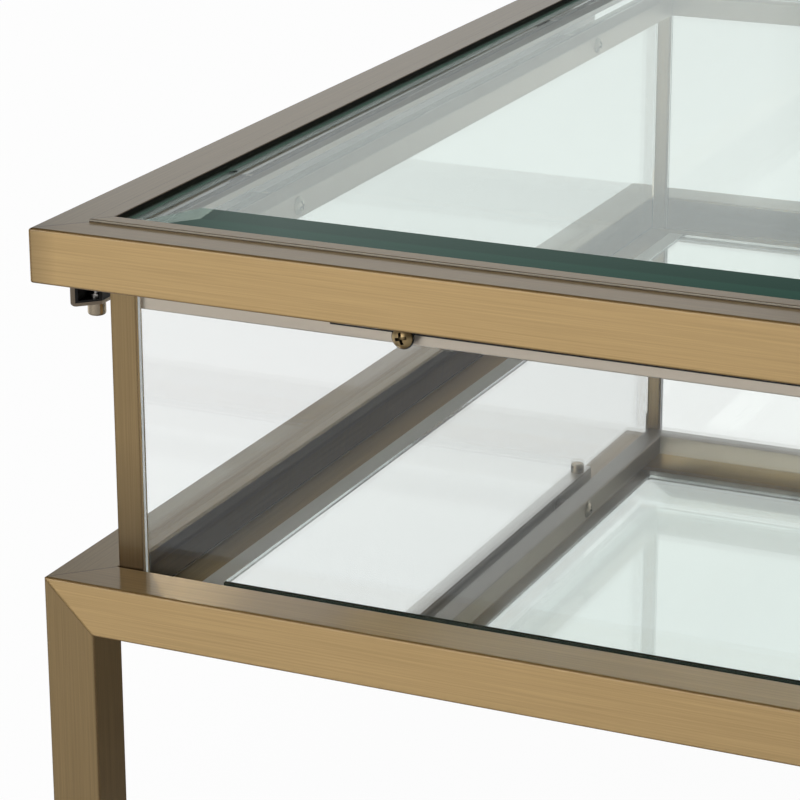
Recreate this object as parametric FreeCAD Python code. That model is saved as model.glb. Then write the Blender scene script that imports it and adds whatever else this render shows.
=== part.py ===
"""Square display coffee table: mitred brass frame, glass case with a mirror floor, sliding glass top."""
import FreeCAD
import Part
import os

# Overall sizes in millimetres
TABLE_WIDTH = 900.0
TABLE_DEPTH = 900.0
TABLE_HEIGHT = 450.0
CASE_GAP = 165.0

# Square tube of the legs, the base frame and the top frame
TUBE_SIZE = 30.0
TUBE_WALL = 1.5
TUBE_EDGE_RADIUS = 1.5

# Feet
FOOT_HEIGHT = 4.0
FOOT_INSET = 0.8
FOOT_PLUG_DEPTH = 14.0
FOOT_CHAMFER = 1.2

# Ledge, bottom panel and mirror inside the base frame
LEDGE_WIDTH = 36.0
LEDGE_THICKNESS = 3.0
PANEL_INSET = 56.0
PANEL_THICKNESS = 3.0
MIRROR_INSET = 72.5
MIRROR_THICKNESS = 5.0
MIRROR_DEPTH = 16.5
MIRROR_CHAMFER = 0.6

# Corner posts and upper rails of the glass case
POST_WIDTH = 15.0
UPPER_RAIL_SIZE = 15.0
UPPER_RAIL_WALL = 1.2
UPPER_RAIL_EDGE_RADIUS = 1.0
RAIL_TO_TOP_CLEARANCE = 3.0

# Side glass, its tape and its screws
SIDE_GLASS = 6.0
SIDE_GLASS_ARRIS = 0.6
GLASS_END_CLEARANCE = 1.0
TAPE_THICKNESS = 1.0
TAPE_HEIGHT = 9.0
TAPE_MIDDLE_GAP = 60.0
TAPE_LENGTH = 263.0
PANE_SCREW_END_DISTANCE = 200.0
PANE_SCREW_RISE = 5.5
CHANNEL_SCREW_RISE = 8.0
CHANNEL_SCREW_END_DISTANCE = 210.0
SCREW_DIAMETER = 5.0
SCREW_HEAD_DIAMETER = 11.2
SCREW_HEAD_HEIGHT = 3.2
SCREW_HEAD_RIM = 0.8
SCREW_REACH = 5.0
RECESS_LENGTH = 6.5
RECESS_WIDTH = 1.7
RECESS_DEPTH = 2.2
RECESS_TURN = 15.0
WASHER_DIAMETER = 12.5
FRONT_WASHER = 0.8
PIN_CLEARANCE = 0.3

# Slide channel, with a brass trim on its outer side and underside
TRIM_WIDTH = 12.3
TRIM_HEIGHT = 14.7
TRIM_WALL = 1.8
TRIM_CORNER_RADIUS = 2.5
CHANNEL_WALL = 1.2
CHANNEL_RIM_DROP = 0.5
CHANNEL_GAP = 6.9
CHANNEL_FRONT_INSET = 21.2
CHANNEL_BACK_INSET = 140.0
SPACER_DIAMETER = 10.0

# Stop bolts and their knobs at the ends of each channel, and the glides of the sliding top
SLIDE_TRAVEL = 240.0
BOLT_TO_CHANNEL_END = 15.3
BOLT_DIAMETER = 4.0
BOLT_NUT_DIAMETER = 7.0
BOLT_NUT_HEIGHT = 2.0
KNOB_DIAMETER = 10.0
KNOB_HEIGHT = 7.1
KNOB_EDGE_RADIUS = 1.6
KNOB_FLOOR = 1.5
GLIDE_LENGTH = 40.0
GLIDE_TO_BOLT = 24.0
GLIDE_CLEARANCE = 0.3
GLIDE_CHAMFER = 2.0
GLIDE_STUD_DIAMETER = 6.0
GLIDE_STUD_HEIGHT = 5.0

# Raised lip of the top frame and the bevelled glass in it
LIP_RIM = 23.0
LIP_RAISE = 1.6
LIP_LEG = 4.0
LIP_EDGE_RADIUS = 0.6
LIP_INNER_RADIUS = 1.8
LIP_FLANGE_WIDTH = 6.0
LIP_FLANGE = 2.0
TOP_GLASS = 8.0
TOP_GLASS_EDGE = 3.0
TOP_GLASS_BEVEL = 32.0
TOP_GLASS_CLEARANCE = 0.5
PAD_DIAMETER = 5.0
PAD_THICKNESS = 1.0
PAD_END_DISTANCE = 160.0

# Heights worked out from the driving sizes
TOP_FRAME_TOP = TABLE_HEIGHT - LIP_RAISE
TOP_FRAME_BOTTOM = TOP_FRAME_TOP - TUBE_SIZE
BASE_TOP = TOP_FRAME_BOTTOM - CASE_GAP
MIRROR_TOP = BASE_TOP - MIRROR_DEPTH
MIRROR_BOTTOM = MIRROR_TOP - MIRROR_THICKNESS
PANEL_BOTTOM = MIRROR_BOTTOM - PANEL_THICKNESS
LEDGE_BOTTOM = PANEL_BOTTOM - LEDGE_THICKNESS
RAIL_TOP = TOP_FRAME_BOTTOM - RAIL_TO_TOP_CLEARANCE
RAIL_BOTTOM = RAIL_TOP - UPPER_RAIL_SIZE
TRIM_TOP = RAIL_TOP
TRIM_BOTTOM = TRIM_TOP - TRIM_HEIGHT
CHANNEL_BOTTOM = TRIM_BOTTOM + TRIM_WALL
CHANNEL_FLOOR = CHANNEL_BOTTOM + CHANNEL_WALL
GLASS_BOTTOM = TABLE_HEIGHT - TOP_GLASS
FLANGE_TOP = GLASS_BOTTOM - PAD_THICKNESS
FLANGE_BOTTOM = FLANGE_TOP - LIP_FLANGE

# Distances inwards from the outer faces of the table
CASE_FACE = TUBE_SIZE
GLASS_BACK = CASE_FACE + SIDE_GLASS
RAIL_FACE = GLASS_BACK + TAPE_THICKNESS
RAIL_BACK = RAIL_FACE + UPPER_RAIL_SIZE
POST_THICKNESS = SIDE_GLASS + TAPE_THICKNESS
CHANNEL_BACK = CASE_FACE - CHANNEL_GAP
TRIM_FACE = CHANNEL_BACK - TRIM_WIDTH
CHANNEL_FACE = TRIM_FACE + TRIM_WALL
CHANNEL_WIDTH = CHANNEL_BACK - CHANNEL_FACE
CHANNEL_MIDDLE = CHANNEL_FACE + CHANNEL_WIDTH / 2
LIP_INNER = TUBE_SIZE + LIP_LEG
TOP_GLASS_INSET = LIP_INNER + TOP_GLASS_CLEARANCE

SIDES = {
    "front": (0, 0.0, -TABLE_DEPTH / 2, TABLE_WIDTH),
    "right": (90, TABLE_WIDTH / 2, 0.0, TABLE_DEPTH),
    "back": (180, 0.0, TABLE_DEPTH / 2, TABLE_WIDTH),
    "left": (270, -TABLE_WIDTH / 2, 0.0, TABLE_DEPTH),
}
CORNERS = {
    "front_left": (0, -1, -1),
    "front_right": (90, 1, -1),
    "back_right": (180, 1, 1),
    "back_left": (270, -1, 1),
}
UP = FreeCAD.Vector(0, 0, 1)
ORIGIN = FreeCAD.Vector(0, 0, 0)


def vec(x, y, z):
    return FreeCAD.Vector(x, y, z)


def block(low, high):
    """A box between two corners."""
    return Part.makeBox(high[0] - low[0], high[1] - low[1], high[2] - low[2], vec(*low))


def prism(points, path):
    """A flat outline carried along a straight path."""
    wire = Part.makePolygon([vec(*point) for point in points + points[:1]])
    return Part.Face(wire).extrude(vec(*path))


def place(shape, side):
    """Turn a piece made for the front side, with its length along X and Y inwards, to another side."""
    angle, x, y, _ = SIDES[side]
    shape.rotate(ORIGIN, UP, angle)
    shape.translate(vec(x, y, 0))
    return shape


def side_length(side):
    return SIDES[side][3]


def bar(length, inset, low, width, height, wall=0.0, radius=0.0):
    """A square-ended bar or tube along X, with its long edges rounded and its bore open at both ends."""
    start = -length / 2
    solid = block((start, inset, low), (start + length, inset + width, low + height))
    if radius > 0:
        solid = solid.makeFillet(radius, [e for e in solid.Edges if abs(e.Length - length) < radius])
    if wall > 0:
        bore = block((start, inset + wall, low + wall),
                     (start + length, inset + width - wall, low + height - wall))
        solid = solid.cut(bore)
    return solid


def plan_mitre(length, reach):
    """The space between the two mitre planes of one side, seen from above."""
    half = length / 2
    outline = [(-half, 0, 0), (half, 0, 0), (half - reach, reach, 0), (reach - half, reach, 0)]
    return prism(outline, (0, 0, TABLE_HEIGHT))


def front_mitre(length, top, reach):
    """The space between the two mitre planes where a base rail meets its legs, seen from the front."""
    half = length / 2
    low = top - reach
    outline = [(-half, 0, top), (half, 0, top), (half - reach, 0, low), (reach - half, 0, low)]
    return prism(outline, (0, reach, 0))


def base_rail(side):
    length = side_length(side)
    rail = bar(length, 0, BASE_TOP - TUBE_SIZE, TUBE_SIZE, TUBE_SIZE, TUBE_WALL, TUBE_EDGE_RADIUS)
    rail = rail.common(plan_mitre(length, TUBE_SIZE)).common(front_mitre(length, BASE_TOP, TUBE_SIZE))
    return place(rail, side)


def leg(corner):
    """An upright tube whose top is cut to the mitres of both rails that meet it."""
    angle, sign_x, sign_y = CORNERS[corner]
    length = BASE_TOP - FOOT_HEIGHT
    tube = block((0, 0, FOOT_HEIGHT), (TUBE_SIZE, TUBE_SIZE, BASE_TOP))
    uprights = [e for e in tube.Edges if abs(e.Length - length) < TUBE_EDGE_RADIUS]
    tube = tube.makeFillet(TUBE_EDGE_RADIUS, uprights)
    inner = TUBE_SIZE - TUBE_WALL
    tube = tube.cut(block((TUBE_WALL, TUBE_WALL, FOOT_HEIGHT), (inner, inner, BASE_TOP)))
    shoulder = BASE_TOP - TUBE_SIZE
    along_x = [(0, 0, FOOT_HEIGHT), (0, 0, BASE_TOP), (TUBE_SIZE, 0, shoulder), (TUBE_SIZE, 0, FOOT_HEIGHT)]
    along_y = [(y, x, z) for x, y, z in along_x]
    tube = tube.common(prism(along_x, (0, TUBE_SIZE, 0))).common(prism(along_y, (TUBE_SIZE, 0, 0)))
    tube.rotate(ORIGIN, UP, angle)
    tube.translate(vec(sign_x * TABLE_WIDTH / 2, sign_y * TABLE_DEPTH / 2, 0))
    return tube


def foot(corner):
    """A moulded cap under a leg, with a plug up inside its tube."""
    _, sign_x, sign_y = CORNERS[corner]
    half = TUBE_SIZE / 2 - FOOT_INSET
    plug_half = TUBE_SIZE / 2 - TUBE_WALL - PIN_CLEARANCE
    cap = block((-half, -half, 0), (half, half, FOOT_HEIGHT))
    cap = cap.makeChamfer(FOOT_CHAMFER, [e for e in cap.Edges if e.BoundBox.ZMax < FOOT_HEIGHT / 2])
    plug = block((-plug_half, -plug_half, 0), (plug_half, plug_half, FOOT_PLUG_DEPTH))
    plug = plug.common(block((-half, -half, FOOT_HEIGHT), (half, half, FOOT_PLUG_DEPTH)))
    piece = cap.fuse(plug)
    x = sign_x * (TABLE_WIDTH - TUBE_SIZE) / 2
    y = sign_y * (TABLE_DEPTH - TUBE_SIZE) / 2
    piece.translate(vec(x, y, 0))
    return piece


def ledge(side):
    """A flat bar inside a base rail that carries the glass, the posts and the bottom panel."""
    length = side_length(side)
    flat = bar(length, CASE_FACE, LEDGE_BOTTOM, LEDGE_WIDTH, LEDGE_THICKNESS)
    return place(flat.common(plan_mitre(length, CASE_FACE + LEDGE_WIDTH)), side)


def plate(inset, low, thickness, chamfer=0.0):
    """A flat plate that fills the table's plan, less an inset all round."""
    half_x = TABLE_WIDTH / 2 - inset
    half_y = TABLE_DEPTH / 2 - inset
    sheet = block((-half_x, -half_y, low), (half_x, half_y, low + thickness))
    if chamfer > 0:
        upper = [e for e in sheet.Edges if e.BoundBox.ZMin > low + thickness / 2]
        sheet = sheet.makeChamfer(chamfer, upper)
    return sheet


def post(corner):
    """A flat upright bar in an inner corner of the base frame, its wide face to the front or back."""
    _, sign_x, sign_y = CORNERS[corner]
    upright = block((CASE_FACE, CASE_FACE, PANEL_BOTTOM),
                    (CASE_FACE + POST_WIDTH, CASE_FACE + POST_THICKNESS, RAIL_TOP))
    upright.translate(vec(-TABLE_WIDTH / 2, -TABLE_DEPTH / 2, 0))
    if sign_x > 0:
        upright = upright.mirror(ORIGIN, vec(1, 0, 0))
    if sign_y > 0:
        upright = upright.mirror(ORIGIN, vec(0, 1, 0))
    return upright


def is_cross_side(side):
    """True for the front and the back, whose screws hold only the pane and the rail."""
    return side in ("front", "back")


def screw_places(side):
    """Positions of the screws along one side, from its middle."""
    end_distance = PANE_SCREW_END_DISTANCE if is_cross_side(side) else CHANNEL_SCREW_END_DISTANCE
    reach = side_length(side) / 2 - end_distance
    return (-reach, reach)


def screw_level(side):
    rise = PANE_SCREW_RISE if is_cross_side(side) else CHANNEL_SCREW_RISE
    return RAIL_BOTTOM + rise


def screw_holes(side, start, end):
    """Round cutters across one side, for both its screws."""
    radius = SCREW_DIAMETER / 2 + PIN_CLEARANCE
    return [Part.makeCylinder(radius, end - start, vec(along, start, screw_level(side)), vec(0, 1, 0))
            for along in screw_places(side)]


def upper_rail(side):
    length = side_length(side)
    rail = bar(length, RAIL_FACE, RAIL_BOTTOM, UPPER_RAIL_SIZE, UPPER_RAIL_SIZE,
               UPPER_RAIL_WALL, UPPER_RAIL_EDGE_RADIUS)
    rail = rail.common(plan_mitre(length, RAIL_BACK))
    for cutter in screw_holes(side, RAIL_FACE, RAIL_BACK):
        rail = rail.cut(cutter)
    return place(rail, side)


def glass_half_length(side):
    """Front and back panes stand between the posts, side panes between the backs of the posts."""
    beside_post = CASE_FACE + POST_WIDTH
    behind_post = CASE_FACE + POST_THICKNESS
    inset = beside_post if is_cross_side(side) else behind_post
    return side_length(side) / 2 - inset - GLASS_END_CLEARANCE


def side_glass(side):
    half = glass_half_length(side)
    pane = block((-half, CASE_FACE, PANEL_BOTTOM), (half, GLASS_BACK, RAIL_TOP))
    pane = pane.makeChamfer(SIDE_GLASS_ARRIS, pane.Edges)
    for cutter in screw_holes(side, CASE_FACE, GLASS_BACK):
        pane = pane.cut(cutter)
    return place(pane, side)


def tapes(side):
    """Two strips of foam tape between a pane and its upper rail, each notched for a screw."""
    low = RAIL_TOP - TAPE_HEIGHT
    near = TAPE_MIDDLE_GAP / 2
    strips = []
    for start in (-near - TAPE_LENGTH, near):
        strip = block((start, GLASS_BACK, low), (start + TAPE_LENGTH, RAIL_FACE, low + TAPE_HEIGHT))
        for cutter in screw_holes(side, GLASS_BACK, RAIL_FACE):
            strip = strip.cut(cutter)
        strips.append(place(strip, side))
    return strips


def cross_head_screw(length):
    """A domed screw with a cross recess, its head's flat face at the origin and its shank along +Y."""
    radius = SCREW_HEAD_DIAMETER / 2
    rise = SCREW_HEAD_HEIGHT - SCREW_HEAD_RIM
    dome_radius = (radius ** 2 + rise ** 2) / (2 * rise)
    dome = Part.makeSphere(dome_radius, vec(0, dome_radius - SCREW_HEAD_HEIGHT, 0), vec(0, 1, 0))
    crown = vec(0, -SCREW_HEAD_HEIGHT, 0)
    head = Part.makeCylinder(radius, SCREW_HEAD_HEIGHT, crown, vec(0, 1, 0)).common(dome)
    shank = Part.makeCylinder(SCREW_DIAMETER / 2, length, ORIGIN, vec(0, 1, 0))
    screw = head.fuse(shank)
    low = -SCREW_HEAD_HEIGHT
    for half_x, half_z in ((RECESS_LENGTH / 2, RECESS_WIDTH / 2), (RECESS_WIDTH / 2, RECESS_LENGTH / 2)):
        screw = screw.cut(block((-half_x, low, -half_z), (half_x, low + RECESS_DEPTH, half_z)))
    screw.rotate(ORIGIN, vec(0, -1, 0), RECESS_TURN)
    return screw.removeSplitter()


def pane_screws():
    """Screws of the front and back panes, with their heads outside the glass."""
    screws = []
    length = FRONT_WASHER + SIDE_GLASS + TAPE_THICKNESS + UPPER_RAIL_WALL + SCREW_REACH
    for side in ("front", "back"):
        for along in screw_places(side):
            screw = cross_head_screw(length)
            screw.translate(vec(along, CASE_FACE - FRONT_WASHER, screw_level(side)))
            screws.append(place(screw, side))
    return screws


def channel_screws():
    """Screws from inside the case through the rail, the pane and a spacer into the channel's wall."""
    screws = []
    length = UPPER_RAIL_SIZE + TAPE_THICKNESS + SIDE_GLASS + CHANNEL_GAP + CHANNEL_WALL
    for side in ("left", "right"):
        for along in screw_places(side):
            screw = cross_head_screw(length)
            screw.rotate(ORIGIN, UP, 180)
            screw.translate(vec(along, RAIL_BACK, screw_level(side)))
            screws.append(place(screw, side))
    return screws


def screw_rings(sides, start, end, diameter):
    """Flat rings round the screws of some sides, between two distances from the outer face."""
    rings = []
    for side in sides:
        for along, cutter in zip(screw_places(side), screw_holes(side, start, end)):
            middle = vec(along, start, screw_level(side))
            disc = Part.makeCylinder(diameter / 2, end - start, middle, vec(0, 1, 0))
            rings.append(place(disc.cut(cutter), side))
    return rings


def head_washers():
    """Soft washers under the screw heads that bear on glass."""
    return screw_rings(("front", "back"), CASE_FACE - FRONT_WASHER, CASE_FACE, WASHER_DIAMETER)


def channel_spacers():
    """Spacers that hold each channel off the glass."""
    return screw_rings(("left", "right"), CHANNEL_BACK, CASE_FACE, SPACER_DIAMETER)


def towards_back(side):
    """The direction along a left or right side that leads to the back of the table."""
    return 1 if side == "right" else -1


def channel_ends(side):
    """Front and back ends of the channel along its side, from the side's middle."""
    half = TABLE_DEPTH / 2
    front = towards_back(side) * (CHANNEL_FRONT_INSET - half)
    back = towards_back(side) * (half - CHANNEL_BACK_INSET)
    return front, back


def bolt_places(side):
    """Positions of the front and rear stop bolts along one side."""
    front, back = channel_ends(side)
    step = towards_back(side) * BOLT_TO_CHANNEL_END
    return [front + step, back - step]


def bolt_holes(side):
    """Cutters through the floor of the channel and its trim for the stop bolts."""
    radius = BOLT_DIAMETER / 2 + PIN_CLEARANCE
    height = CHANNEL_FLOOR - TRIM_BOTTOM
    return [Part.makeCylinder(radius, height, vec(along, CHANNEL_MIDDLE, TRIM_BOTTOM))
            for along in bolt_places(side)]


def front_bevel(side):
    """A cutter that slants the channel's front end back towards the glass."""
    front, _ = channel_ends(side)
    slant = front + towards_back(side) * TRIM_WIDTH
    outline = [(front, TRIM_FACE, 0), (front, CHANNEL_BACK, 0), (slant, CHANNEL_BACK, 0)]
    return prism(outline, (0, 0, TABLE_HEIGHT))


def channel_trim(side):
    """A brass angle on the outer side and the underside of the channel."""
    start, end = sorted(channel_ends(side))
    piece = block((start, TRIM_FACE, TRIM_BOTTOM), (end, CHANNEL_BACK, TRIM_TOP))
    corner = [e for e in piece.Edges if e.BoundBox.XLength > TRIM_WIDTH
              and e.BoundBox.ZMax < CHANNEL_BOTTOM and e.BoundBox.YMax < CHANNEL_FACE]
    piece = piece.makeFillet(TRIM_CORNER_RADIUS, corner)
    piece = piece.cut(block((start, CHANNEL_FACE, CHANNEL_BOTTOM), (end, CHANNEL_BACK, TRIM_TOP)))
    for cutter in bolt_holes(side) + [front_bevel(side)]:
        piece = piece.cut(cutter)
    return place(piece, side)


def slide_channel(side):
    """A channel open upwards, screwed to the case, in which the top's glides run."""
    start, end = sorted(channel_ends(side))
    rim = TRIM_TOP - CHANNEL_RIM_DROP
    piece = block((start, CHANNEL_FACE, CHANNEL_BOTTOM), (end, CHANNEL_BACK, rim))
    piece = piece.cut(block((start, CHANNEL_FACE + CHANNEL_WALL, CHANNEL_FLOOR),
                            (end, CHANNEL_BACK - CHANNEL_WALL, rim)))
    holes = screw_holes(side, CHANNEL_BACK - CHANNEL_WALL, CHANNEL_BACK)
    for cutter in bolt_holes(side) + holes + [front_bevel(side)]:
        piece = piece.cut(cutter)
    return place(piece, side)


def glide_places(side):
    """Rest positions of the glides, which run between the two stop bolts."""
    front, rear = bolt_places(side)
    step = towards_back(side)
    return [front + step * GLIDE_TO_BOLT, rear - step * (GLIDE_TO_BOLT + SLIDE_TRAVEL)]


def top_rail(side):
    length = side_length(side)
    rail = bar(length, 0, TOP_FRAME_BOTTOM, TUBE_SIZE, TUBE_SIZE, TUBE_WALL, TUBE_EDGE_RADIUS)
    rail = rail.common(plan_mitre(length, TUBE_SIZE))
    if not is_cross_side(side):
        radius = GLIDE_STUD_DIAMETER / 2 + PIN_CLEARANCE
        for along in glide_places(side):
            middle = vec(along, CHANNEL_MIDDLE, TOP_FRAME_BOTTOM)
            rail = rail.cut(Part.makeCylinder(radius, TUBE_WALL, middle))
    return place(rail, side)


def lip(side):
    """A folded strip: a raised lip on the tube, a leg down its inner face and a flange under the glass."""
    length = side_length(side)
    half = length / 2
    flange_edge = LIP_INNER + LIP_FLANGE_WIDTH
    section = [(LIP_RIM, TOP_FRAME_TOP), (LIP_RIM, TABLE_HEIGHT), (LIP_INNER, TABLE_HEIGHT),
               (LIP_INNER, FLANGE_TOP), (flange_edge, FLANGE_TOP), (flange_edge, FLANGE_BOTTOM),
               (TUBE_SIZE, FLANGE_BOTTOM), (TUBE_SIZE, TOP_FRAME_TOP)]
    strip = prism([(-half, n, z) for n, z in section], (length, 0, 0))
    for inset, radius in ((LIP_INNER, LIP_INNER_RADIUS), (LIP_RIM, LIP_EDGE_RADIUS)):
        upper = [e for e in strip.Edges
                 if abs(e.Length - length) < radius and e.BoundBox.ZMin > TABLE_HEIGHT - LIP_RAISE / 2]
        edge = [e for e in upper if abs(e.BoundBox.Center.y - inset) < LIP_EDGE_RADIUS / 2]
        strip = strip.makeFillet(radius, edge)
    return place(strip.common(plan_mitre(length, flange_edge)), side)


def rectangle(inset, level):
    half_x = TABLE_WIDTH / 2 - inset
    half_y = TABLE_DEPTH / 2 - inset
    corners = [(-half_x, -half_y), (half_x, -half_y), (half_x, half_y), (-half_x, half_y)]
    points = [vec(x, y, level) for x, y in corners]
    return Part.makePolygon(points + points[:1])


def top_glass():
    """A thick pane with a wide bevel that thins it towards its edges."""
    shoulder = GLASS_BOTTOM + TOP_GLASS_EDGE
    slab = plate(TOP_GLASS_INSET, GLASS_BOTTOM, TOP_GLASS_EDGE)
    crown = Part.makeLoft([rectangle(TOP_GLASS_INSET, shoulder),
                           rectangle(TOP_GLASS_INSET + TOP_GLASS_BEVEL, TABLE_HEIGHT)], True, True)
    return slab.fuse(crown).removeSplitter()


def glass_pads():
    """Clear pads between the flange and the top glass."""
    pads = []
    for side in SIDES:
        reach = side_length(side) / 2 - PAD_END_DISTANCE
        for along in (-reach, reach):
            middle = vec(along, LIP_INNER + LIP_FLANGE_WIDTH / 2, FLANGE_TOP)
            pads.append(place(Part.makeCylinder(PAD_DIAMETER / 2, PAD_THICKNESS, middle), side))
    return pads


def glide(along):
    """A block that carries the top in the channel, with a stud up into the rail above."""
    half_length = GLIDE_LENGTH / 2
    half_width = CHANNEL_WIDTH / 2 - CHANNEL_WALL - GLIDE_CLEARANCE
    low = CHANNEL_FLOOR + GLIDE_CLEARANCE
    body = block((along - half_length, CHANNEL_MIDDLE - half_width, low),
                 (along + half_length, CHANNEL_MIDDLE + half_width, TOP_FRAME_BOTTOM))
    ends = [e for e in body.Edges
            if e.BoundBox.ZMax < low + GLIDE_CLEARANCE and e.BoundBox.XLength < GLIDE_CHAMFER]
    body = body.makeChamfer(GLIDE_CHAMFER, ends)
    stud = Part.makeCylinder(GLIDE_STUD_DIAMETER / 2, GLIDE_STUD_HEIGHT,
                             vec(along, CHANNEL_MIDDLE, TOP_FRAME_BOTTOM))
    return body.fuse(stud)


def stop_bolt(along):
    """A stud up through the channel's floor, with a nut inside that stops the glides."""
    end = TRIM_BOTTOM - KNOB_HEIGHT + KNOB_FLOOR
    shank = Part.makeCylinder(BOLT_DIAMETER / 2, TRIM_TOP - end, vec(along, CHANNEL_MIDDLE, end))
    nut = Part.makeCylinder(BOLT_NUT_DIAMETER / 2, BOLT_NUT_HEIGHT, vec(along, CHANNEL_MIDDLE, CHANNEL_FLOOR))
    return shank.fuse(nut)


def knob(along):
    """A round nut on the lower end of a stop bolt, under the channel."""
    low = TRIM_BOTTOM - KNOB_HEIGHT
    body = Part.makeCylinder(KNOB_DIAMETER / 2, KNOB_HEIGHT, vec(along, CHANNEL_MIDDLE, low))
    lower = [e for e in body.Edges if e.BoundBox.ZMax < low + KNOB_HEIGHT / 2]
    body = body.makeFillet(KNOB_EDGE_RADIUS, lower)
    bore = Part.makeCylinder(BOLT_DIAMETER / 2 + PIN_CLEARANCE, KNOB_HEIGHT,
                             vec(along, CHANNEL_MIDDLE, low + KNOB_FLOOR))
    return body.cut(bore)


def along_both_channels(make, places):
    """One piece for each place along the left and right channels."""
    return [place(make(along), side) for side in ("left", "right") for along in places(side)]


def save(name, *solids):
    """Write one node, as a single solid or as a group of separate solids."""
    shape = solids[0] if len(solids) == 1 else Part.makeCompound(list(solids))
    shape.exportStep(f"parts/{name}.step")


def main():
    os.makedirs("parts", exist_ok=True)
    for corner in CORNERS:
        save(f"leg_{corner}", leg(corner))
        save(f"corner_post_{corner}", post(corner))
    save("foot_caps", *[foot(corner) for corner in CORNERS])
    for side in SIDES:
        save(f"base_rail_{side}", base_rail(side))
        save(f"ledge_bar_{side}", ledge(side))
        save(f"upper_rail_{side}", upper_rail(side))
        save(f"side_glass_{side}", side_glass(side))
        save(f"glass_tapes_{side}", *tapes(side))
        save(f"top_rail_{side}", top_rail(side))
        save(f"top_lip_{side}", lip(side))
    save("bottom_panel", plate(PANEL_INSET, PANEL_BOTTOM, PANEL_THICKNESS))
    save("mirror_plate", plate(MIRROR_INSET, MIRROR_BOTTOM, MIRROR_THICKNESS, MIRROR_CHAMFER))
    save("pane_screws", *pane_screws())
    save("channel_screws", *channel_screws())
    save("head_washers", *head_washers())
    save("channel_spacers", *channel_spacers())
    for side in ("left", "right"):
        save(f"slide_channel_{side}", slide_channel(side))
        save(f"channel_trim_{side}", channel_trim(side))
    save("top_glass", top_glass())
    save("glass_pads", *glass_pads())
    save("slide_glides", *along_both_channels(glide, glide_places))
    save("stop_bolts", *along_both_channels(stop_bolt, bolt_places))
    save("bolt_knobs", *along_both_channels(knob, bolt_places))


main()
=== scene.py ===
import math

import bmesh
import bpy
from mathutils import Matrix, Vector


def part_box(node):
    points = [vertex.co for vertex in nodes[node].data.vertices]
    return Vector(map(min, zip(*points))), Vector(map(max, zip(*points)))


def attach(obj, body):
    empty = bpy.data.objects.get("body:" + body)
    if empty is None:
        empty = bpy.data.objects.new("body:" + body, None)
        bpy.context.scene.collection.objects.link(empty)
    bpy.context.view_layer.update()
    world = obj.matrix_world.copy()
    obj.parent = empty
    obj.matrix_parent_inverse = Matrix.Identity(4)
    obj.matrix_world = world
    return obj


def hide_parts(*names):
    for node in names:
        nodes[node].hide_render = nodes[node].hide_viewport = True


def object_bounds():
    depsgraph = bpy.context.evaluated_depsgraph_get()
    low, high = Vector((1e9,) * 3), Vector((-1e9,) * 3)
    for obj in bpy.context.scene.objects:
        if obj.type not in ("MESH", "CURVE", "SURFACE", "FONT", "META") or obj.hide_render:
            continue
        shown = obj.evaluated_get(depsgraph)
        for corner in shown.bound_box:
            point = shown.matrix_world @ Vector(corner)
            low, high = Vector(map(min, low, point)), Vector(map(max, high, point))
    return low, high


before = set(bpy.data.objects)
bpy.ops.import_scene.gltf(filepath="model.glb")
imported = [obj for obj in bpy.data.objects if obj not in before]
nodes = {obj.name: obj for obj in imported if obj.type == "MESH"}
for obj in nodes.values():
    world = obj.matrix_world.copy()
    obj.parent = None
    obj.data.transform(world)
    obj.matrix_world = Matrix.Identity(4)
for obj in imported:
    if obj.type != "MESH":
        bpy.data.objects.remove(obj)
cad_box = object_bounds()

# Sides and corners of the table
CROSS_SIDES = ("front", "back")
LONG_SIDES = ("left", "right")
CORNERS = ("front_left", "front_right", "back_right", "back_left")

# Places that the finishes and the painted light and shade are worked out from, in metres
TABLE_HALF = cad_box[1].x
TABLE_TOP = cad_box[1].z

# Camera of the photograph, for a square frame
CAMERA_PLACE = (0.35795, -1.75581, 0.86766)
CAMERA_YAW = math.radians(24.54)
CAMERA_PITCH = math.radians(18.65)
CAMERA_ROLL = math.radians(-0.15)
CAMERA_LENS = 136.76
CAMERA_SENSOR = 36.0

# Floor and background
WHITE = (1.0, 1.0, 1.0, 1.0)
FLOOR_HALF = 7.0
FLOOR_COLOUR = (0.62, 0.62, 0.62, 1.0)
# Painted shade on the floor under the table
FLOOR_SHADE = (0.28, 0.285, 0.32, 1.0)
FLOOR_SHADE_START = TABLE_HALF - 0.03
FLOOR_SHADE_END = TABLE_HALF + 0.15
FLOOR_PALE_SHARE = 0.97
FOOT_SHADOW_REACH = 0.15
FOOT_SHADOW_OPENNESS = (0.5, 1.0)
FOOT_SHADOW_SHARE = 0.6
PALE_SIDE = (-0.6, 0.8, 0.0)
PALE_SIDE_REACH = (0.4, 0.8)
OPENNESS_SAMPLES = 8

# Lamps over the floor
LAMP_SIZE = 1.5
FRONT_LAMP_PLACE = (-0.6, -2.6, 3.0)
FRONT_LAMP_TARGET = (-0.6, -1.3, 0.0)
FRONT_LAMP_POWER = 65.0
BACK_LAMP_PLACE = (-3.0, 2.0, 3.6)
BACK_LAMP_TARGET = (-2.2, 1.5, 0.0)
BACK_LAMP_POWER = 70.0

# Sectors of the room, in degrees: the middle, and the half widths at which light starts to fade and is gone
BACKDROP_SECTOR = (114.0, 6.5, 10.5)
WINDOW_SECTOR = (247.0, 18.0, 26.0)
GLASS_SIDE_SECTOR = (62.0, 16.0, 22.0)
GLASS_BACKDROP_SECTOR = (132.0, 44.0, 52.0)

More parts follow.
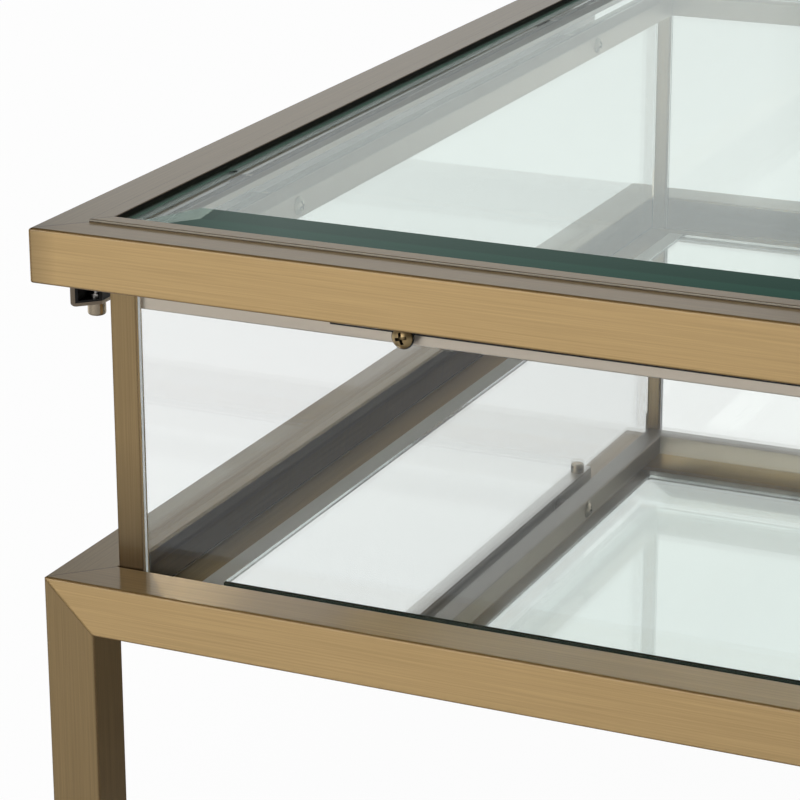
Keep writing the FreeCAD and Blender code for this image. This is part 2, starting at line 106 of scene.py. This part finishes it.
# Light of each sector by height, as the sine of the angle above the horizon
DARK_ROOM = (0.06, 0.06, 0.06, 1.0)
BACKDROP_LOW = (0.66, 0.68, 0.68, 1.0)
BACKDROP_FULL = (0.86, 0.88, 0.88, 1.0)
BACKDROP_HIGH = (0.7, 0.72, 0.72, 1.0)
BACKDROP_LIGHT = (
    (0.06, DARK_ROOM),
    (0.12, BACKDROP_LOW),
    (0.26, BACKDROP_FULL),
    (0.34, BACKDROP_FULL),
    (0.38, BACKDROP_HIGH),
    (0.5, BACKDROP_HIGH),
    (0.56, DARK_ROOM),
)
WINDOW_LOW = (3.5, 3.45, 3.4, 1.0)
WINDOW_BAR = (1.0, 0.99, 0.97, 1.0)
WINDOW_HIGH = (2.1, 2.07, 2.04, 1.0)
WINDOW_LIGHT = (
    (0.0, WINDOW_LOW),
    (0.22, WINDOW_LOW),
    (0.27, WINDOW_BAR),
    (0.36, WINDOW_BAR),
    (0.4, WINDOW_HIGH),
    (0.5, WINDOW_HIGH),
    (0.56, DARK_ROOM),
)
GLASS_SIDE_COLOUR = (0.48, 0.48, 0.49, 1.0)
GLASS_SIDE_LIGHT = (
    (0.5, GLASS_SIDE_COLOUR),
    (0.6, DARK_ROOM),
)
GLASS_BACKDROP_HIGH = (0.96, 0.96, 0.97, 1.0)
GLASS_BACKDROP_LIGHT = (
    (0.34, WHITE),
    (0.38, GLASS_BACKDROP_HIGH),
    (0.5, GLASS_BACKDROP_HIGH),
    (0.6, DARK_ROOM),
)

# Ways that a face looks, as parts of its normal between which finishes and painted shade change
UNDERSIDE = (-0.9, -0.5)
LEVEL_FACE = (0.75, 0.95)
FRONT_FACE = (-0.5, -0.8)
END_FACE = 0.9

# Brushed brass
BRASS_DARK = (0.455, 0.314, 0.141, 1.0)
BRASS_LIGHT = (0.582, 0.407, 0.192, 1.0)
BRASS_ROUGHNESS = (0.44, 0.56)
BRASS_ANISOTROPY = 0.85
BRASS_TURN = 0.25
LACQUER_WEIGHT = 0.8
LACQUER_ROUGHNESS = 0.15
GRAIN_ALONG = 10.0
GRAIN_ACROSS = 1100.0
GRAIN_DETAIL = 4.0
GRAIN_FINENESS = 0.6
GRAIN_BUMP = 0.05
GRAIN_DEPTH = 0.0002
# Painted shade on brass faces that look down, and along the rounded edges
UNDERSIDE_SHADE = 0.45
EDGE_PAINTED_SHADE = (0.2, 0.115, 0.035, 1.0)
EDGE_REACH = 0.002
EDGE_SAMPLES = 4
EDGE_TURN = (0.78, 0.97)

# Painted light and shade on single brass pieces, by place
# Painted shade towards the ends of the top rails
RAIL_END = (TABLE_HALF - 0.001, TABLE_HALF - 0.016)
RAIL_END_SHADE = 0.7
# Painted shade towards the foot of the corner posts
POST_FOOT = (TABLE_TOP - 0.21, TABLE_TOP - 0.12)
POST_FOOT_SHADE = 0.45
# Painted shade on the lips' sides and front step, darkest at the step's foot, and painted light where the
# glass rests
LIP_SIDE_SHADE = 0.12
LIP_SEAT = (TABLE_TOP - 0.0042, TABLE_TOP - 0.003)
LIP_SEAT_PAINTED_LIGHT = (0.86, 0.89, 0.87, 1.0)
LIP_STEP = (TABLE_TOP - 0.0014, TABLE_TOP - 0.0009)
LIP_STEP_PAINTED_SHADOW = (0.05, 0.035, 0.018, 1.0)
LIP_STEP_PAINTED_SHADE = (0.3, 0.275, 0.22, 1.0)

# Upper rails and channel trim
RAIL_COLOUR = (0.53, 0.455, 0.372, 1.0)
# Painted shade on the rails' undersides
RAIL_PAINTED_UNDERSIDE = (0.36, 0.345, 0.325, 1.0)
RAIL_ROUGHNESS = 0.45
TRIM_COLOUR = (0.45, 0.37, 0.28, 1.0)
TRIM_UNDERSIDE = (0.76, 0.75, 0.74, 1.0)
TRIM_ROUGHNESS = 0.4

# Slide channel
CHANNEL_WALL_PLACE = TABLE_HALF - 0.023
# The channel's front end is painted black as shade
CHANNEL_PAINTED_SHADE_END = 0.05 - TABLE_HALF
CHANNEL_BLACK = (0.006, 0.006, 0.006, 1.0)
CHANNEL_BRONZE = (0.75, 0.73, 0.7, 1.0)
CHANNEL_ROUGHNESS = 0.45

# Other fittings: a colour and a roughness each
BLACK_PLASTIC = ((0.006, 0.006, 0.006, 1.0), 0.5)
FOAM_TAPE = ((0.01, 0.01, 0.01, 1.0), 0.9)
SATIN_SCREW = ((0.50, 0.37, 0.19, 1.0), 0.35)
PALE_SCREW = ((0.64, 0.57, 0.45, 1.0), 0.3)
BRONZE_KNOB = ((0.5, 0.42, 0.31, 1.0), 0.25)
SATIN_STEEL = ((0.55, 0.53, 0.5, 1.0), 0.28)
CLEAR_PLASTIC = ((0.95, 0.96, 0.95, 1.0), 0.1)
PANEL_PAINT = ((0.66, 0.63, 0.56, 1.0), 0.5)
SILVER_BACKING = ((0.98, 0.985, 0.98, 1.0), 0.0)
# Painted shade down in the cross of a screw's head
SCREW_CROSS = (0.02, 0.014, 0.006, 1.0)
SCREW_CROSS_REACH = 0.003
SCREW_CROSS_OPENNESS = (0.45, 0.85)

# Glass and mirror
CLEAR_GLASS_TINT = (0.998, 1.0, 0.999, 1.0)
CLEAR_GLASS_DENSITY = 2.5
TOP_GLASS_TINT = (0.89, 0.915, 0.902, 1.0)
TOP_GLASS_DENSITY = 12.0
TOP_GLASS_GLOW = 0.9
MIRROR_GLOW = 0.12
GLASS_ABSORPTION = (0.3, 0.75, 0.55, 1.0)
GLASS_GLOW = (0.38, 1.0, 0.8, 1.0)
GLASS_IOR = 1.5
GROUND_EDGE = (0.88, 0.92, 0.9, 1.0)
GROUND_EDGE_LIGHT = 0.3
SILVER_GAP = 0.0001
MIRROR_BEVEL = 0.0007
LOOKS_DOWN = -0.5

# Where a colour ramp starts and ends unless it is told otherwise
RAMP_START = 0.3
RAMP_END = 0.7


def new_material(name):
    """A material with a bare node tree, its main shader and its output."""
    material = bpy.data.materials.new(name)
    material.use_nodes = True
    tree = material.node_tree
    tree.nodes.clear()
    output = tree.nodes.new("ShaderNodeOutputMaterial")
    shader = tree.nodes.new("ShaderNodeBsdfPrincipled")
    tree.links.new(shader.outputs["BSDF"], output.inputs["Surface"])
    return material, tree, shader, output


def math_step(tree, operation, first, second=None):
    """Work on one value or join two, the second a socket or a number."""
    step = tree.nodes.new("ShaderNodeMath")
    step.operation = operation
    tree.links.new(first, step.inputs[0])
    if isinstance(second, float):
        step.inputs[1].default_value = second
    elif second is not None:
        tree.links.new(second, step.inputs[1])
    return step.outputs["Value"]


def vector_step(tree, operation, first, second=None):
    """Work on a vector, with a second, plain one where the operation takes it."""
    step = tree.nodes.new("ShaderNodeVectorMath")
    step.operation = operation
    tree.links.new(first, step.inputs[0])
    if second is not None:
        step.inputs[1].default_value = second
    return step


def vector_parts(tree, vector):
    """The three coordinates of a vector."""
    split = tree.nodes.new("ShaderNodeSeparateXYZ")
    tree.links.new(vector, split.inputs["Vector"])
    return split.outputs


def place_on(tree):
    """A point on the piece, in the piece's own coordinates."""
    coordinates = tree.nodes.new("ShaderNodeTexCoord")
    return coordinates.outputs["Object"]


def place_part(tree, axis):
    """One coordinate of a point on the piece."""
    return vector_parts(tree, place_on(tree))[axis]


def place_size(tree, axis):
    """How far a point of the piece lies from the table's middle along one axis."""
    return math_step(tree, "ABSOLUTE", place_part(tree, axis))


def normal_part(tree, axis):
    """One coordinate of the direction that a face looks in."""
    geometry = tree.nodes.new("ShaderNodeNewGeometry")
    return vector_parts(tree, geometry.outputs["Normal"])[axis]


def share_between(tree, source, start, end, low=0.0, high=1.0):
    """A value that goes from low to high while the source goes from start to end."""
    reach = tree.nodes.new("ShaderNodeMapRange")
    reach.inputs["From Min"].default_value = start
    reach.inputs["From Max"].default_value = end
    reach.inputs["To Min"].default_value = low
    reach.inputs["To Max"].default_value = high
    tree.links.new(source, reach.inputs["Value"])
    return reach.outputs["Result"]


def openness(tree, reach, own_piece_only):
    """1 where nothing stands close to a surface, and less where something does."""
    test = tree.nodes.new("ShaderNodeAmbientOcclusion")
    test.samples = OPENNESS_SAMPLES
    test.only_local = own_piece_only
    test.inputs["Distance"].default_value = reach
    return test.outputs["AO"]


def colour_stops(tree, source, stops):
    """Colours that follow a value from stop to stop."""
    ramp = tree.nodes.new("ShaderNodeValToRGB")
    elements = ramp.color_ramp.elements
    elements[0].position, elements[0].color = stops[0]
    elements[1].position, elements[1].color = stops[-1]
    for place, colour in stops[1:-1]:
        elements.new(place).color = colour
    tree.links.new(source, ramp.inputs["Fac"])
    return ramp.outputs["Color"]


def colour_ramp(tree, source, low, high, start=RAMP_START, end=RAMP_END):
    """Two colours that follow a value from start to end."""
    return colour_stops(tree, source, ((start, low), (end, high)))


def mixed(tree, share, first, second):
    """The first colour where the share is 0, the second where it is 1, each a socket or a plain colour."""
    blend = tree.nodes.new("ShaderNodeMixRGB")
    tree.links.new(share, blend.inputs["Fac"])
    for colour, place in ((first, "Color1"), (second, "Color2")):
        if isinstance(colour, tuple):
            blend.inputs[place].default_value = colour
        else:
            tree.links.new(colour, blend.inputs[place])
    return blend.outputs["Color"]


def shaded(tree, colour, share):
    """A colour times a share of it."""
    scaled = vector_step(tree, "SCALE", colour)
    tree.links.new(share, scaled.inputs["Scale"])
    return scaled.outputs["Vector"]


def mixed_shader(tree, share, first, second):
    """The first shader where the share is 0, the second where it is 1."""
    mix = tree.nodes.new("ShaderNodeMixShader")
    tree.links.new(share, mix.inputs["Fac"])
    tree.links.new(first, mix.inputs[1])
    tree.links.new(second, mix.inputs[2])
    return mix.outputs["Shader"]


def joined_shader(tree, first, second):
    """Two shaders, one added to the other."""
    both = tree.nodes.new("ShaderNodeAddShader")
    tree.links.new(first, both.inputs[0])
    tree.links.new(second, both.inputs[1])
    return both.outputs["Shader"]


def given_light(tree, colour, strength):
    """Light that a surface or a body of glass gives off."""
    light = tree.nodes.new("ShaderNodeEmission")
    light.inputs["Color"].default_value = colour
    light.inputs["Strength"].default_value = strength
    return light.outputs["Emission"]


def flat_share(tree):
    """1 on the flat of a face, and 0 where it turns into the next one at an edge."""
    rounded = tree.nodes.new("ShaderNodeBevel")
    rounded.samples = EDGE_SAMPLES
    rounded.inputs["Radius"].default_value = EDGE_REACH
    size = vector_step(tree, "ABSOLUTE", rounded.outputs["Normal"])
    parts = vector_parts(tree, size.outputs["Vector"])
    largest = math_step(tree, "MAXIMUM", parts["X"], parts["Y"])
    largest = math_step(tree, "MAXIMUM", largest, parts["Z"])
    return share_between(tree, largest, *EDGE_TURN)


def brushed_grain(tree, axis):
    """Noise on the piece's own coordinates, drawn out along one axis."""
    scale = [GRAIN_ACROSS] * 3
    scale["xyz".index(axis)] = GRAIN_ALONG
    mapping = tree.nodes.new("ShaderNodeMapping")
    mapping.inputs["Scale"].default_value = scale
    noise = tree.nodes.new("ShaderNodeTexNoise")
    noise.inputs["Scale"].default_value = 1.0
    noise.inputs["Detail"].default_value = GRAIN_DETAIL
    noise.inputs["Roughness"].default_value = GRAIN_FINENESS
    tree.links.new(place_on(tree), mapping.inputs["Vector"])
    tree.links.new(mapping.outputs["Vector"], noise.inputs["Vector"])
    return noise.outputs["Fac"]


def rail_end_painted_shade(tree, colour, axis):
    """A top rail's brass, with painted shade towards the two ends."""
    along = place_size(tree, axis.upper())
    return shaded(tree, colour, share_between(tree, along, *RAIL_END, RAIL_END_SHADE))


def post_foot_painted_shade(tree, colour, axis):
    """A corner post's brass, with painted shade towards the foot."""
    along = place_part(tree, axis.upper())
    return shaded(tree, colour, share_between(tree, along, *POST_FOOT, POST_FOOT_SHADE))


def lip_painted_light(tree, colour, _axis):
    """A lip's brass: painted shade on its sides, painted shade on the front step that is darkest at its
    foot, and pale painted light where the glass rests.
    """
    level = share_between(tree, normal_part(tree, "Z"), *LEVEL_FACE, LIP_SIDE_SHADE)
    colour = shaded(tree, colour, level)
    height = place_part(tree, "Z")
    step = colour_ramp(tree, share_between(tree, height, *LIP_STEP), LIP_STEP_PAINTED_SHADOW, LIP_STEP_PAINTED_SHADE, 0.0, 1.0)
    front = share_between(tree, normal_part(tree, "Y"), *FRONT_FACE)
    colour = mixed(tree, front, colour, step)
    return mixed(tree, share_between(tree, height, *LIP_SEAT), LIP_SEAT_PAINTED_LIGHT, colour)


def brushed_brass(name, axis, tone=None):
    """Lacquered brass, brushed along one axis of the table, with painted shade along its edges and on its
    undersides.
    """
    material, tree, shader, _ = new_material(f"{name} along {axis}")
    grain = brushed_grain(tree, axis)
    brushed = colour_ramp(tree, grain, BRASS_DARK, BRASS_LIGHT)
    # painted shade along the rounded edges and on faces that look down
    colour = mixed(tree, flat_share(tree), EDGE_PAINTED_SHADE, brushed)
    below = share_between(tree, normal_part(tree, "Z"), *UNDERSIDE, UNDERSIDE_SHADE)
    colour = shaded(tree, colour, below)
    # painted light and shade that a single piece takes by place
    if tone:
        colour = tone(tree, colour, axis)
    tree.links.new(colour, shader.inputs["Base Color"])
    roughness = share_between(tree, grain, 0.0, 1.0, *BRASS_ROUGHNESS)
    tree.links.new(roughness, shader.inputs["Roughness"])
    shader.inputs["Metallic"].default_value = 1.0
    shader.inputs["Anisotropic"].default_value = BRASS_ANISOTROPY
    shader.inputs["Anisotropic Rotation"].default_value = BRASS_TURN
    shader.inputs["Coat Weight"].default_value = LACQUER_WEIGHT
    shader.inputs["Coat Roughness"].default_value = LACQUER_ROUGHNESS
    bump = tree.nodes.new("ShaderNodeBump")
    bump.inputs["Strength"].default_value = GRAIN_BUMP
    bump.inputs["Distance"].default_value = GRAIN_DEPTH
    tree.links.new(grain, bump.inputs["Height"])
    tree.links.new(bump.outputs["Normal"], shader.inputs["Normal"])
    direction = tree.nodes.new("ShaderNodeCombineXYZ")
    direction.inputs[axis.upper()].default_value = 1.0
    tree.links.new(direction.outputs["Vector"], shader.inputs["Tangent"])
    return material


def plain_finish(name, colour, roughness, metallic=0.0, transmission=0.0):
    """One even colour and gloss."""
    material, _, shader, _ = new_material(name)
    shader.inputs["Base Color"].default_value = colour
    shader.inputs["Roughness"].default_value = roughness
    shader.inputs["Metallic"].default_value = metallic
    shader.inputs["Transmission Weight"].default_value = transmission
    return material


def metal_with_other_underside(name, colour, under_colour, roughness):
    """Metal with another colour on its underside: a darker one as painted shade under the rails, a paler
    one under the trim.
    """
    material, tree, shader, _ = new_material(name)
    above = share_between(tree, normal_part(tree, "Z"), *UNDERSIDE)
    tree.links.new(colour_ramp(tree, above, under_colour, colour), shader.inputs["Base Color"])
    shader.inputs["Metallic"].default_value = 1.0
    shader.inputs["Roughness"].default_value = roughness
    return material


def screw_finish_with_painted_shade(name, colour, roughness):
    """Metal with painted shade down in the cross of the screw's head."""
    material, tree, shader, _ = new_material(name)
    free = openness(tree, SCREW_CROSS_REACH, own_piece_only=True)
    tone = colour_ramp(tree, free, SCREW_CROSS, colour, *SCREW_CROSS_OPENNESS)
    tree.links.new(tone, shader.inputs["Base Color"])
    shader.inputs["Metallic"].default_value = 1.0
    shader.inputs["Roughness"].default_value = roughness
    return material


def channel_finish_and_painted_shade():
    """Black inside the channel, black as painted shade over its front end, and bare bronze on its wall
    towards the glass.
    """
    material, tree, shader, _ = new_material("black channel with a bronze wall")
    wall = math_step(tree, "LESS_THAN", place_size(tree, "X"), CHANNEL_WALL_PLACE)
    behind = math_step(tree, "GREATER_THAN", place_part(tree, "Y"), CHANNEL_PAINTED_SHADE_END)
    bare = math_step(tree, "MULTIPLY", wall, behind)
    tree.links.new(bare, shader.inputs["Metallic"])
    tree.links.new(colour_ramp(tree, bare, CHANNEL_BLACK, CHANNEL_BRONZE), shader.inputs["Base Color"])
    shader.inputs["Roughness"].default_value = CHANNEL_ROUGHNESS
    return material


def ground_ends(tree, shader_output, end_axis):
    """Ground glass on the two upright ends of a pane, lit a little from inside the glass."""
    size = math_step(tree, "ABSOLUTE", normal_part(tree, end_axis.upper()))
    end = math_step(tree, "GREATER_THAN", size, END_FACE)
    ground = tree.nodes.new("ShaderNodeBsdfDiffuse")
    ground.inputs["Color"].default_value = GROUND_EDGE
    light = given_light(tree, GROUND_EDGE, GROUND_EDGE_LIGHT)
    return mixed_shader(tree, end, shader_output, joined_shader(tree, ground.outputs["BSDF"], light))


def polished_glass(name, tint, density, glow=0.0, end_axis=None):
    """Clear glass that turns green over a long path, with a faint green light or ground ends if asked."""
    material, tree, shader, output = new_material(name)
    shader.inputs["Base Color"].default_value = tint
    shader.inputs["Roughness"].default_value = 0.0
    shader.inputs["IOR"].default_value = GLASS_IOR
    shader.inputs["Transmission Weight"].default_value = 1.0
    absorption = tree.nodes.new("ShaderNodeVolumeAbsorption")
    absorption.inputs["Color"].default_value = GLASS_ABSORPTION
    absorption.inputs["Density"].default_value = density
    body = absorption.outputs["Volume"]
    if glow > 0.0:
        body = joined_shader(tree, body, given_light(tree, GLASS_GLOW, glow))
    tree.links.new(body, output.inputs["Volume"])
    if end_axis:
        surface = ground_ends(tree, shader.outputs["BSDF"], end_axis)
        tree.links.new(surface, output.inputs["Surface"])
    return material


def dress(name, material):
    """Give a CAD node its finish."""
    for place in nodes[name].material_slots:
        place.material = material


def dress_frame():
    """Every brass piece takes the grain that runs along it."""
    post_brass = brushed_brass("brushed brass post", "z", post_foot_painted_shade)
    leg_brass = brushed_brass("brushed brass", "z")
    for corner in CORNERS:
        dress(f"leg_{corner}", leg_brass)
        dress(f"corner_post_{corner}", post_brass)
    for sides, axis in ((CROSS_SIDES, "x"), (LONG_SIDES, "y")):
        brass = brushed_brass("brushed brass", axis)
        rail_brass = brushed_brass("brushed brass top rail", axis, rail_end_painted_shade)
        lip_brass = brushed_brass("brushed brass lip", axis, lip_painted_light)
        for side in sides:
            dress(f"base_rail_{side}", brass)
            dress(f"ledge_bar_{side}", brass)
            dress(f"top_rail_{side}", rail_brass)
            dress(f"top_lip_{side}", lip_brass)


def dress_fittings():
    """Finishes of the pieces that are neither brushed brass nor glass."""
    black = plain_finish("black plastic", *BLACK_PLASTIC)
    tape = plain_finish("black foam tape", *FOAM_TAPE)
    bronze = metal_with_other_underside("grey bronze rail", RAIL_COLOUR, RAIL_PAINTED_UNDERSIDE, RAIL_ROUGHNESS)
    trim = metal_with_other_underside("satin bronze trim", TRIM_COLOUR, TRIM_UNDERSIDE, TRIM_ROUGHNESS)
    clear = plain_finish("clear plastic", *CLEAR_PLASTIC, transmission=1.0)
    channel = channel_finish_and_painted_shade()
    for name in ("foot_caps", "slide_glides", "channel_spacers"):
        dress(name, black)
    for name in ("head_washers", "glass_pads"):
        dress(name, clear)
    for side in CROSS_SIDES + LONG_SIDES:
        dress(f"glass_tapes_{side}", tape)
        dress(f"upper_rail_{side}", bronze)
    for side in LONG_SIDES:
        dress(f"channel_trim_{side}", trim)
        dress(f"slide_channel_{side}", channel)
    dress("pane_screws", screw_finish_with_painted_shade("satin brass screw", *SATIN_SCREW))
    dress("channel_screws", screw_finish_with_painted_shade("pale brass screw", *PALE_SCREW))
    dress("bolt_knobs", plain_finish("polished bronze knob", *BRONZE_KNOB, metallic=1.0))
    dress("stop_bolts", plain_finish("satin steel", *SATIN_STEEL, metallic=1.0))
    dress("bottom_panel", plain_finish("taupe panel paint", *PANEL_PAINT))


def dress_glass():
    """The front pane has ground ends, and the thick top glass is greener than the panes."""
    front_glass = polished_glass("clear front glass", CLEAR_GLASS_TINT, CLEAR_GLASS_DENSITY, end_axis="x")
    side_glass = polished_glass("clear side glass", CLEAR_GLASS_TINT, CLEAR_GLASS_DENSITY)
    top_glass = polished_glass("clear top glass", TOP_GLASS_TINT, TOP_GLASS_DENSITY, TOP_GLASS_GLOW)
    dress("side_glass_front", front_glass)
    for side in ("back", "left", "right"):
        dress(f"side_glass_{side}", side_glass)
    dress("top_glass", top_glass)


def mesh_piece(name, shape, materials):
    """An object at the origin from a bmesh, with its finishes."""
    mesh = bpy.data.meshes.new(name)
    shape.to_mesh(mesh)
    shape.free()
    piece = bpy.data.objects.new(name, mesh)
    bpy.context.scene.collection.objects.link(piece)
    for material in materials:
        piece.data.materials.append(material)
    return piece


def mirror_glass():
    """The mirror: a clear plate with bevelled upper edges and a silvered underside."""
    glass = polished_glass("mirror plate glass", CLEAR_GLASS_TINT, CLEAR_GLASS_DENSITY, MIRROR_GLOW)
    silver = plain_finish("silver backing", *SILVER_BACKING, metallic=1.0)
    low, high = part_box("mirror_plate")
    low = low + Vector((0.0, 0.0, SILVER_GAP))
    middle = (low + high) / 2
    shape = bmesh.new()
    bmesh.ops.create_cube(shape, size=1.0)
    bmesh.ops.scale(shape, vec=high - low, verts=shape.verts)
    bmesh.ops.translate(shape, vec=middle, verts=shape.verts)
    upper = [edge for edge in shape.edges if all(vert.co.z > middle.z for vert in edge.verts)]
    bmesh.ops.bevel(
        shape, geom=upper, offset=MIRROR_BEVEL, affect="EDGES", segments=1, profile=0.5, material=-1
    )
    for face in shape.faces:
        face.material_index = 1 if face.normal.z < LOOKS_DOWN else 0
    piece = mesh_piece("mirror_glass", shape, [glass, silver])
    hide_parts("mirror_plate")
    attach(piece, "base")


def pale_side(tree):
    """The part of the floor behind the table on the left, which metal mirrors as white."""
    along = vector_step(tree, "DOT_PRODUCT", place_on(tree), PALE_SIDE)
    return share_between(tree, along.outputs["Value"], *PALE_SIDE_REACH)


def pale_surface(tree, shader_output):
    """White light in the floor for the rays that show it as the background, less in the feet's shadow."""
    light_path = tree.nodes.new("ShaderNodeLightPath").outputs
    seen = math_step(tree, "MAXIMUM", light_path["Is Camera Ray"], light_path["Is Transmission Ray"])
    mirrored = math_step(tree, "MULTIPLY", light_path["Is Glossy Ray"], pale_side(tree))
    seen = math_step(tree, "MAXIMUM", seen, mirrored)
    free = openness(tree, FOOT_SHADOW_REACH, own_piece_only=False)
    lit = share_between(tree, free, *FOOT_SHADOW_OPENNESS, FOOT_SHADOW_SHARE)
    amount = math_step(tree, "MULTIPLY", math_step(tree, "MULTIPLY", seen, lit), FLOOR_PALE_SHARE)
    return mixed_shader(tree, amount, shader_output, given_light(tree, WHITE, 1.0))


def studio_floor():
    """A pale floor with painted shade under the table."""
    shape = bmesh.new()
    bmesh.ops.create_grid(shape, x_segments=1, y_segments=1, size=FLOOR_HALF)
    material, tree, shader, output = new_material("pale studio floor")
    from_middle = math_step(tree, "MAXIMUM", place_size(tree, "X"), place_size(tree, "Y"))
    under = share_between(tree, from_middle, FLOOR_SHADE_END, FLOOR_SHADE_START)
    colour = colour_ramp(tree, under, FLOOR_COLOUR, FLOOR_SHADE, 0.0, 1.0)
    tree.links.new(colour, shader.inputs["Base Color"])
    shader.inputs["Roughness"].default_value = 1.0
    shader.inputs["Specular IOR Level"].default_value = 0.0
    tree.links.new(pale_surface(tree, shader.outputs["BSDF"]), output.inputs["Surface"])
    floor = mesh_piece("studio_floor", shape, [material])


def room_sector(tree, direction, middle, inner, outer):
    """How far a direction lies inside a sector of the horizon, from 1 inside to 0 outside."""
    flat = vector_step(tree, "MULTIPLY", direction, (1.0, 1.0, 0.0))
    level = vector_step(tree, "NORMALIZE", flat.outputs["Vector"])
    turn = math.radians(middle)
    along = vector_step(tree, "DOT_PRODUCT", level.outputs["Vector"], (math.cos(turn), math.sin(turn), 0.0))
    fade = (math.cos(math.radians(outer)), math.cos(math.radians(inner)))
    return share_between(tree, along.outputs["Value"], *fade)


def room_light(tree, seen_through_glass):
    """A dim room with a backdrop at the back left and a window at the front left.

    Two more sectors are lit only for what is seen through glass.
    """
    direction = tree.nodes.new("ShaderNodeTexCoord").outputs["Generated"]
    height = vector_parts(tree, direction)["Z"]
    colour = DARK_ROOM
    for sector, light in ((BACKDROP_SECTOR, BACKDROP_LIGHT), (WINDOW_SECTOR, WINDOW_LIGHT)):
        share = room_sector(tree, direction, *sector)
        colour = mixed(tree, share, colour, colour_stops(tree, height, light))
    glass_side = (GLASS_SIDE_SECTOR, GLASS_SIDE_LIGHT)
    glass_backdrop = (GLASS_BACKDROP_SECTOR, GLASS_BACKDROP_LIGHT)
    for sector, light in (glass_side, glass_backdrop):
        share = math_step(tree, "MULTIPLY", seen_through_glass, room_sector(tree, direction, *sector))
        colour = mixed(tree, share, colour, colour_stops(tree, height, light))
    return colour


def studio_world():
    """The room's light, with plain white for the camera."""
    world = bpy.data.worlds.new("studio room")
    bpy.context.scene.world = world
    world.use_nodes = True
    tree = world.node_tree
    tree.nodes.clear()
    output = tree.nodes.new("ShaderNodeOutputWorld")
    light_path = tree.nodes.new("ShaderNodeLightPath").outputs
    room = tree.nodes.new("ShaderNodeBackground")
    tree.links.new(room_light(tree, light_path["Is Transmission Ray"]), room.inputs["Color"])
    white = tree.nodes.new("ShaderNodeBackground")
    white.inputs["Color"].default_value = WHITE
    shown = (room.outputs["Background"], white.outputs["Background"])
    mix = mixed_shader(tree, light_path["Is Camera Ray"], *shown)
    tree.links.new(mix, output.inputs["Surface"])


def soft_lamp(name, place, target, power):
    """A square lamp that shines on a place on the floor and isn't mirrored in metal."""
    lamp = bpy.data.lights.new(name, "AREA")
    lamp.shape = "SQUARE"
    lamp.size = LAMP_SIZE
    lamp.energy = power
    holder = bpy.data.objects.new(name, lamp)
    holder.location = place
    holder.rotation_euler = (Vector(target) - Vector(place)).to_track_quat("-Z", "Y").to_euler()
    holder.visible_glossy = False
    bpy.context.scene.collection.objects.link(holder)


def photo_camera():
    """The camera at the photograph's place."""
    camera = bpy.data.cameras.new("photo_camera")
    camera.lens = CAMERA_LENS
    camera.sensor_width = CAMERA_SENSOR
    holder = bpy.data.objects.new("photo_camera", camera)
    turn = Matrix.Rotation(CAMERA_YAW, 4, "Z") @ Matrix.Rotation(math.pi / 2 - CAMERA_PITCH, 4, "X")
    roll = Matrix.Rotation(CAMERA_ROLL, 4, "Z")
    holder.matrix_world = Matrix.Translation(CAMERA_PLACE) @ turn @ roll
    bpy.context.scene.collection.objects.link(holder)
    bpy.context.scene.camera = holder


def main():
    dress_frame()
    dress_fittings()
    dress_glass()
    mirror_glass()
    studio_floor()
    studio_world()
    soft_lamp("front_floor_softbox", FRONT_LAMP_PLACE, FRONT_LAMP_TARGET, FRONT_LAMP_POWER)
    soft_lamp("back_floor_softbox", BACK_LAMP_PLACE, BACK_LAMP_TARGET, BACK_LAMP_POWER)
    photo_camera()
    bpy.context.scene.view_settings.view_transform = "Standard"


main()
